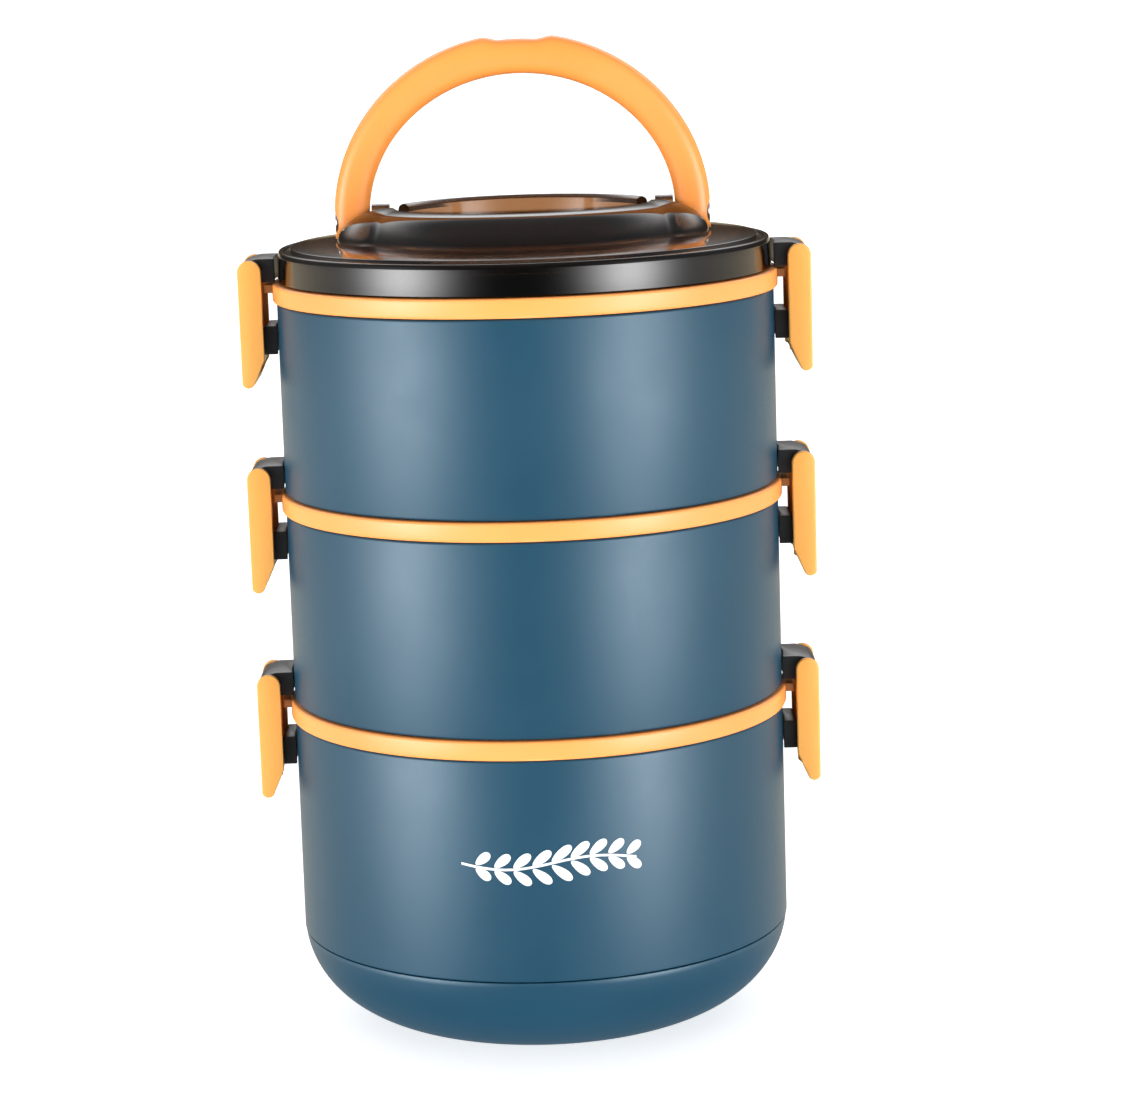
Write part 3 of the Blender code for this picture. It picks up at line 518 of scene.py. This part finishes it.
def lid_profile():
    edge = LID_EDGE
    plug_z = RING_Z[2] + PLUG_BOTTOM
    under_z = LID_TOP - LID_WALL
    inner_edge = SKIRT_R - 2.6
    top = [(0.0, DISH_Z, 0.0), (34.4, DISH_Z, 1.6), (36.4, DISH_Z + 2.2, 2.0), (37.5, DRUM_TOP - 0.9, 1.2),
           (38.9, DRUM_TOP - 0.05, 1.0), (40.2, DRUM_TOP - 0.9, 1.3), (DRUM_R, DRUM_TOP - 3.0, 1.0),
           (DRUM_R, LID_TOP + 0.2, 3.4), (58.0, LID_TOP - 0.3, 20.0), (69.2, LID_TOP - 1.2, 0.4),
           (69.8, edge + 0.1, 0.3), (70.8, edge + 0.1, 0.3), (71.2, edge + 0.85, 0.4), (72.6, edge + 0.75, 0.6),
           (SKIRT_R - 0.35, edge - 0.6, 0.8), (SKIRT_R, SKIRT_Z, 0.3)]
    under = [(SKIRT_R - LID_WALL, SKIRT_Z, 0.3), (inner_edge, edge - LID_WALL, 0.6), (PLUG_R, edge - LID_WALL, 0.6),
             (PLUG_R, plug_z + LEDGE_HEIGHT, 0.1), (LEDGE_R, plug_z + LEDGE_HEIGHT, 0.3), (LEDGE_R, plug_z, 0.3),
             (PLUG_WELL_R, plug_z, 0.5), (PLUG_WELL_R, under_z - 1.0, 1.5), (44.0, under_z, 3.0),
             (40.5, under_z, 2.0), (36.2, DISH_Z - LID_WALL, 2.0), (0.0, DISH_Z - LID_WALL, 0.0)]
    return rounded(top + under, 5)


def crest_reach(radial, angle):
    """How far the crest or an ear reaches from the core ring, at an angle above the lid in one upright plane."""
    across, up = math.cos(angle), math.sin(angle)
    low, high = 0.0, CREST_REACH + 2.0
    for _ in range(24):
        middle = (low + high) / 2
        rise = middle * up
        wall = CREST_REACH - CREST_LEAN * rise
        inside = (middle * across / wall) ** CREST_POWER + (rise / CREST_HEIGHT) ** CREST_POWER < 1.0
        low, high = (middle, high) if inside else (low, middle)
    core = radial * CREST_CORE_R
    start = Vector(((abs(core.x) - EAR_CENTRE[0]) / EAR_RADII[0], (core.y - EAR_CENTRE[1]) / EAR_RADII[1], 0.0))
    heading = Vector((abs(radial.x) * across / EAR_RADII[0], radial.y * across / EAR_RADII[1], up / EAR_RADII[2]))
    spread, lead, miss = heading.dot(heading), start.dot(heading), start.dot(start) - 1.0
    ear = (math.sqrt(lead * lead - spread * miss) - lead) / spread if miss < 0.0 else 0.0
    blend = max(1.6 - abs(low - ear), 0.0)
    return max(low, ear) + blend * blend / 6.4


def crest_tool():
    """The thick wall in front of the dish, swelling into an ear in front of each handle leg."""
    bm = bmesh.new()
    rows = []
    turns, rises = 180, 36
    for turn in range(turns + 1):
        azimuth = math.radians(-94 + 188 * turn / turns)
        radial = Vector((math.sin(azimuth), -math.cos(azimuth), 0.0))
        row = []
        for step in range(rises + 1):
            angle = math.pi / 2 * step / rises
            reach = crest_reach(radial, angle)
            point = radial * (CREST_CORE_R + reach * math.cos(angle))
            row.append(bm.verts.new((point.x, point.y, CREST_BASE + reach * math.sin(angle))))
        row.append(bm.verts.new((*(radial * CREST_CORE_R).xy, CREST_BASE)))
        rows.append(row)
    for row, following in zip(rows, rows[1:]):
        for k in range(len(row)):
            after = (k + 1) % len(row)
            bm.faces.new((row[k], row[after], following[after], following[k]))
    bm.faces.new(rows[0])
    bm.faces.new(rows[-1])
    bmesh.ops.recalc_face_normals(bm, faces=bm.faces)
    obj = mesh_object("crest", bm)
    combine(obj, [("DIFFERENCE", block((-90, CREST_BACK_Y, 200), (90, 60, 270))),
                  ("DIFFERENCE", rod(DRUM_R - 1.9, (0, 0, 200), (0, 0, 270), ROUND_STEPS))])
    bm = bmesh.new()
    bm.from_mesh(obj.data)
    bmesh.ops.scale(bm, vec=(1 / MM,) * 3, verts=bm.verts)
    bpy.data.objects.remove(obj)
    return bm


def boss_tool(side):
    """Tombstone-shaped boss between the drum and a handle leg."""
    foot_z = LID_TOP - 1.1
    outline = [(5.0, foot_z)] + arc((0.0, PIVOT_Z), (5.0, 5.0), 0, 180, 24) + [(-5.0, foot_z)]
    inner_x = DRUM_R - 1.2
    bm = prism(outline, (BOSS_END_X - inner_x) / 2)
    place = Matrix.Translation((side * (BOSS_END_X + inner_x) / 2, 0.0, 0.0)) @ Matrix.Rotation(math.pi / 2, 4, "Z")
    bmesh.ops.transform(bm, matrix=place, verts=bm.verts)
    return bm


def make_lid():
    obj = mesh_object("lid_smoked_cover", lathe(lid_profile()))
    combine(obj, [("UNION", crest_tool())])
    for side, _ in SIDES:
        near, far = sorted((side * 33.0, side * 41.5))
        combine(obj, [("DIFFERENCE", block((near, -4.0, NOTCH_Z), (far, 15.0, 260.0))),
                      ("UNION", boss_tool(side)),
                      ("DIFFERENCE", rod(2.5, (side * 41.4, 0, PIVOT_Z), (side * 46, 0, PIVOT_Z)))])
    finish_piece(obj, SMOKE, "lid", ["lid_cover"], sharp_deg=32)


# ---------------------------------------------------------------- handle

def handle_rail(angle):
    """Inner and outer points of the bow at an angle; the outer rail dips at the top for the fingers."""
    reach = HANDLE_HIGH.x
    inner = Vector((HANDLE_INNER[0] * math.cos(angle), 0.0, HANDLE_SPRING_Z + HANDLE_INNER[1] * math.sin(angle)))
    outer = Vector((reach * math.cos(angle), 0.0, HANDLE_SPRING_Z + HANDLE_RISE * math.sin(angle)))
    ramp = min(max((11.0 - abs(outer.x)) / 6.0, 0.0), 1.0)
    outer.z -= 1.6 * ramp * ramp * (3.0 - 2.0 * ramp)
    return inner, outer


def handle_section(bm, inner, outer, half_depth, points=40):
    """A squared-off oval between two rail points."""
    centre = (inner + outer) / 2
    across = outer - centre
    verts = []
    for k in range(points):
        angle = math.tau * (k + 0.5) / points
        power = 2.0 / 2.7
        u = math.copysign(abs(math.cos(angle)) ** power, math.cos(angle))
        y = math.copysign(abs(math.sin(angle)) ** power, math.sin(angle)) * half_depth
        verts.append(bm.verts.new(centre + across * u + Vector((0.0, y, 0.0))))
    return verts


def make_handle():
    half_depth = HANDLE_HIGH.y
    drop = Vector((0.0, 0.0, PIVOT_Z - HANDLE_SPRING_Z))
    bm = bmesh.new()
    rows = []
    ends = [(math.radians(a), half_depth * math.cos(math.radians(a))) for a in (86, 76, 64, 52, 40, 28, 14)]
    left, right = handle_rail(math.pi), handle_rail(0.0)

    def leg_row(rails, turn, depth):
        sink = drop - Vector((0.0, 0.0, half_depth * math.sin(turn)))
        return handle_section(bm, rails[0] + sink, rails[1] + sink, depth)

    rows += [leg_row(left, turn, depth) for turn, depth in ends]
    rows.append(leg_row(left, 0.0, half_depth))
    steps = 120
    rows += [handle_section(bm, *handle_rail(math.pi * (1 - k / steps)), half_depth) for k in range(steps + 1)]
    rows.append(leg_row(right, 0.0, half_depth))
    rows += [leg_row(right, turn, depth) for turn, depth in reversed(ends)]
    for row, following in zip(rows, rows[1:]):
        for k in range(len(row)):
            after = (k + 1) % len(row)
            bm.faces.new((row[k], row[after], following[after], following[k]))
    bm.faces.new(rows[0])
    bm.faces.new(rows[-1])
    bmesh.ops.recalc_face_normals(bm, faces=bm.faces)
    obj = mesh_object("handle_bow", bm)
    for side, _ in SIDES:
        combine(obj, [("DIFFERENCE", rod(2.5, (side * 40, 0, PIVOT_Z), (side * 60, 0, PIVOT_Z))),
                      ("DIFFERENCE", rod(3.9, (side * 54.1, 0, PIVOT_Z), (side * 60, 0, PIVOT_Z), 60))])
    finish_piece(obj, BOW_ORANGE_PAINTED_DARKER, "handle", ["handle"])
    for side, label in SIDES:
        outline = [(0.0, 41.8, 0.0), (2.2, 41.8, 0.4), (2.2, 54.4, 0.1), (3.6, 54.4, 0.2), (3.6, 55.4, 0.4),
                   (0.0, 55.5, 0.0)]
        pin = lathe(rounded(outline, 3), 48)
        turn = Matrix.Translation((0, 0, PIVOT_Z)) @ Matrix.Rotation(side * math.pi / 2, 4, "Y")
        bmesh.ops.transform(pin, matrix=turn, verts=pin.verts)
        obj = mesh_object(f"handle_rivet_{label}", pin)
        finish_piece(obj, PIN_STEEL, "lid", [f"handle_pin_{label}"])


# ---------------------------------------------------------------- latches

def make_latch(level, side, label):
    """One latch: black lug and catch, orange flap with cheeks, hook rib and finger grooves, and its pin."""
    pin_z = RING_Z[level] + PIN_RISE[level]
    carrier = ("middle_tier", "upper_tier", "lid")[level]
    upper = ("middle", "upper", "lid")[level]
    keeper = TIERS[level]

    def placed(points):
        return [(side * (PIN_X + p[0]), pin_z + p[1], *p[2:]) for p in points]

    outline = arc((0.0, 0.0), (3.5, 3.5), 0, 180, 20) + [(-3.5, -25.8)] + arc((1.5, -32.2), (2.0, 2.0), 205, 340, 10)
    flap = mesh_object(f"latch_{level + 1}_{label}_paddle", prism(placed(outline), FLAP_HALF_WIDTH))
    channel = [(-4.5, 4.5), (4.5, 4.5), (4.5, -4.0), (1.5, -4.0), (1.5, -24.9), (-2.8, -24.9), (-2.8, -27.2),
               (1.5, -27.2), (1.5, -30.7), (-4.5, -30.7)]
    cuts = [("DIFFERENCE", prism(placed(channel), FLAP_HALF_WIDTH - 2.0)),
            ("DIFFERENCE", rod(1.5, (side * PIN_X, -11.3, pin_z), (side * PIN_X, 11.3, pin_z)))]
    combine(flap, cuts)
    soften(flap, 0.55)
    grooves = [("DIFFERENCE", rod(0.55, (side * (PIN_X + 3.75), -7.0, pin_z - v), (side * (PIN_X + 3.75), 7.0, pin_z - v), 20))
               for v in (24.5, 26.9, 29.3)]
    combine(flap, grooves)
    finish_piece(flap, FLAP_ORANGE_PAINTED_LIGHTER, f"latch_{level + 1}_{label}", [f"latch_{level + 1}_{label}_flap"])

    wall = rod(SHELL_R + 0.3, (0, 0, pin_z - 45), (0, 0, pin_z + 20), ROUND_STEPS)
    lug_outline = [(-9.0, 3.8), (-2.2, 3.8)] + arc((0.0, 0.0), (3.2, 3.2), 75, -90, 16) + [(-9.0, -3.2)]
    lug = mesh_object(f"{upper}_hinge_lug_{label}", prism(placed(lug_outline), 9.6))
    combine(lug, [("DIFFERENCE", wall), ("DIFFERENCE", rod(1.5, (side * PIN_X, -12, pin_z), (side * PIN_X, 12, pin_z)))])
    soften(lug, 0.4)
    finish_piece(lug, BLACK, carrier, [f"{upper}_lug_{label}"])

    wall = rod(SHELL_R + 0.3, (0, 0, pin_z - 45), (0, 0, pin_z + 20), ROUND_STEPS)
    catch_outline = [(-9.0, -16.2), (-3.9, -16.2), (-3.1, -17.0), (-3.1, -21.8), (-1.5, -22.6), (-1.5, -24.6),
                     (-9.0, -24.6)]
    catch = mesh_object(f"{keeper}_keeper_{label}", prism(placed(catch_outline), 9.0))
    combine(catch, [("DIFFERENCE", wall)])
    soften(catch, 0.35)
    finish_piece(catch, BLACK, f"{keeper}_tier", [f"{keeper}_catch_{label}"])

    pin = mesh_object(f"latch_{level + 1}_{label}_wire", rod(1.2, (side * PIN_X, -11, pin_z), (side * PIN_X, 11, pin_z)))
    soften(pin, 0.2)
    finish_piece(pin, PIN_STEEL, f"latch_{level + 1}_{label}", [f"latch_{level + 1}_{label}_pin"])


# ---------------------------------------------------------------- printed ornament

def on_wall(u, z, lift):
    """A point of the flat print, wrapped round the shell: u along the wall, lift out of it."""
    angle = u / SHELL_R
    return Vector(((SHELL_R + lift) * math.sin(angle), -(SHELL_R + lift) * math.cos(angle), z))


def print_patch(bm, outline):
    """A thin raised patch of ink with a flat outline of (u, z) points."""
    front = [bm.verts.new(on_wall(u, z, 0.06)) for u, z in outline]
    back = [bm.verts.new(on_wall(u, z, -0.10)) for u, z in outline]
    bm.faces.new(front)
    bm.faces.new(back[::-1])
    for k in range(len(outline)):
        after = (k + 1) % len(outline)
        bm.faces.new((front[after], front[k], back[k], back[after]))


def make_print():
    """A plain leafy sprig, printed in white on the lower tier."""
    centre_u, centre_z, half_length = 2.0, 63.0, 25.5
    bm = bmesh.new()
    steps = 24

    def stem(t):
        return centre_u + half_length * t, centre_z + 1.6 * math.sin(math.pi * t)

    for k in range(steps):
        (u0, z0), (u1, z1) = stem(-1 + 2 * k / steps), stem(-1 + 2 * (k + 1) / steps)
        print_patch(bm, [(u0, z0 - 0.35), (u1, z1 - 0.35), (u1, z1 + 0.35), (u0, z0 + 0.35)])
    for k in range(9):
        t = -0.86 + 1.72 * k / 8
        u, z = stem(t)
        for up in (1, -1):
            lean = math.radians(38)
            length = 7.2 - 2.2 * abs(t)
            leaf = []
            for j in range(20):
                angle = math.tau * j / 20
                along = length * (0.5 - 0.5 * math.cos(angle)) + 0.9
                wide = 1.35 * math.sin(angle) * (1.0 - 0.25 * math.cos(angle))
                leaf.append((u + along * math.cos(lean) - up * wide * math.sin(lean),
                             z + up * (along * math.sin(lean)) + wide * math.cos(lean)))
            print_patch(bm, leaf)
    bmesh.ops.recalc_face_normals(bm, faces=bm.faces)
    obj = mesh_object("printed_sprig", bm)
    finish_piece(obj, INK, "lower_tier")


# ---------------------------------------------------------------- studio

def make_camera():
    data = bpy.data.cameras.new("camera")
    data.sensor_width = 36.0
    data.lens = 109.44
    data.clip_end = 50.0
    camera = bpy.data.objects.new("camera", data)
    bpy.context.scene.collection.objects.link(camera)
    turn = Matrix.Rotation(math.radians(90 - 10.05), 4, "X") @ Matrix.Rotation(math.radians(-1.85), 4, "Z")
    camera.matrix_world = Matrix.Translation((0.0086, -1.016, 0.3209)) @ turn
    bpy.context.scene.camera = camera


# Directions in degrees: azimuth to the right of the camera's side, elevation, width, height, then radiance
LEFT_LIGHT = (-57.5, -2.0, 13.3, 9.5, 15.3)
RIGHT_LIGHT = (49.0, -2.0, 12.4, 9.5, 15.5)
LEFT_GLOW = (-86.0, -2.0, 24.0, 11.0, 0.8)
RIGHT_GLOW = (82.0, -2.0, 24.0, 11.0, 0.8)
BACK_LIGHT = (180.0, 33.0, 45.0, 9.0, 3.2)
FRONT_DIM = (0.12, 0.12, 0.12)
BACK_WARM = (1.05, 0.88, 0.62)
BACK_HIGH = (0.050, 0.032, 0.020)
UNDER_DIM = (0.26, 0.27, 0.28)
CEILING = (0.40, 0.41, 0.43)


def make_floor():
    """A white sheet that the camera sees; the pieces' gloss mirrors the studio beyond it instead."""
    floor = mesh_object("studio_floor", block((-6000, -6000, -4), (6000, 24000, -0.05)))
    paper = Shader("studio_paper", 0.9, Emission_Color=(1.0, 1.0, 1.0, 1.0), Emission_Strength=0.68,
                   Specular_IOR_Level=0.0)
    paper.colour(paper.mix(paper.noise(3.0, 2.0), (0.88, 0.88, 0.88), (0.91, 0.91, 0.91)))
    floor.data.materials.append(paper.done())
    floor.visible_glossy = False
    floor.visible_shadow = False


def make_world():
    """The studio round the object: two tall soft lights at the sides of the camera, a dim front, a warm
    bright surface below and behind, a pale ceiling, and white wherever the camera looks past the floor."""
    world = bpy.data.worlds.new("studio")
    bpy.context.scene.world = world
    world.use_nodes = True
    tree = world.node_tree
    background = tree.nodes["Background"]
    direction = tree.nodes.new("ShaderNodeTexCoord").outputs["Generated"]
    parts = tree.nodes.new("ShaderNodeSeparateXYZ")
    tree.links.new(direction, parts.inputs["Vector"])

    def put(socket, value):
        if isinstance(value, bpy.types.NodeSocket):
            tree.links.new(value, socket)
        elif isinstance(value, tuple):
            socket.default_value = (*value, 1.0) if len(socket.default_value) > len(value) else value
        else:
            socket.default_value = value

    def maths(operation, first, second=0.0):
        node = tree.nodes.new("ShaderNodeMath")
        node.operation = operation
        put(node.inputs[0], first)
        put(node.inputs[1], second)
        return node.outputs[0]

    def mixed(factor, first, second, blend="MIX"):
        node = tree.nodes.new("ShaderNodeMix")
        node.data_type = "RGBA"
        node.blend_type = blend
        node.clamp_result = False
        put(node.inputs[0], factor)
        put(node.inputs[6], first)
        put(node.inputs[7], second)
        return node.outputs[2]

    def smooth(value, low, high):
        node = tree.nodes.new("ShaderNodeMapRange")
        node.interpolation_type = "SMOOTHSTEP"
        node.inputs["From Min"].default_value = low
        node.inputs["From Max"].default_value = high
        put(node.inputs["Value"], value)
        return node.outputs["Result"]

    def soft_light(azimuth_deg, elevation_deg, width_deg, height_deg, radiance):
        """A light whose edges fade like a bell curve; width and height are its standard deviations."""
        azimuth, elevation = math.radians(azimuth_deg), math.radians(elevation_deg)
        across = (math.cos(azimuth), math.sin(azimuth), 0.0)
        towards = (math.sin(azimuth), -math.cos(azimuth), 0.0)

        def along(axis):
            node = tree.nodes.new("ShaderNodeVectorMath")
            node.operation = "DOT_PRODUCT"
            put(node.inputs[0], direction)
            node.inputs[1].default_value = axis
            return node.outputs["Value"]

        sideways = maths("DIVIDE", maths("ARCTAN2", along(across), along(towards)), math.radians(width_deg))
        upwards = maths("SUBTRACT", maths("ARCSINE", parts.outputs["Z"]), elevation)
        upwards = maths("DIVIDE", upwards, math.radians(height_deg))
        spread = maths("ADD", maths("POWER", sideways, 2.0), maths("POWER", upwards, 2.0))
        return maths("MULTIPLY", maths("EXPONENT", maths("MULTIPLY", spread, -0.5)), radiance)

    to_back = smooth(parts.outputs["Y"], -0.35, 0.75)
    below = mixed(smooth(parts.outputs["Z"], -0.60, -0.22), UNDER_DIM, mixed(to_back, FRONT_DIM, BACK_WARM))
    above = mixed(to_back, FRONT_DIM, BACK_HIGH)
    level = mixed(smooth(parts.outputs["Z"], -0.06, 0.02), below, above)
    dome = mixed(smooth(parts.outputs["Z"], 0.30, 0.80), level, CEILING)
    lights = 0.0
    for light in (LEFT_LIGHT, RIGHT_LIGHT, LEFT_GLOW, RIGHT_GLOW, BACK_LIGHT):
        lights = maths("ADD", soft_light(*light), lights)
    lit = mixed(1.0, dome, lights, "ADD")
    seen = tree.nodes.new("ShaderNodeLightPath").outputs["Is Camera Ray"]
    tree.links.new(mixed(seen, lit, (1.1, 1.1, 1.1)), background.inputs["Color"])
    world.cycles.sampling_method = "MANUAL"
    world.cycles.sample_map_resolution = 1024


def make_studio():
    make_floor()
    make_world()
    view = bpy.context.scene.view_settings
    view.view_transform = "Standard"
    view.look = "None"


make_camera()
make_studio()
make_shells()
make_base()
make_rings()
make_bowls()
make_seals()
make_lid()
make_handle()
for latch_level in range(3):
    for latch_side, latch_label in SIDES:
        make_latch(latch_level, latch_side, latch_label)
make_print()

bpy.context.view_layer.update()
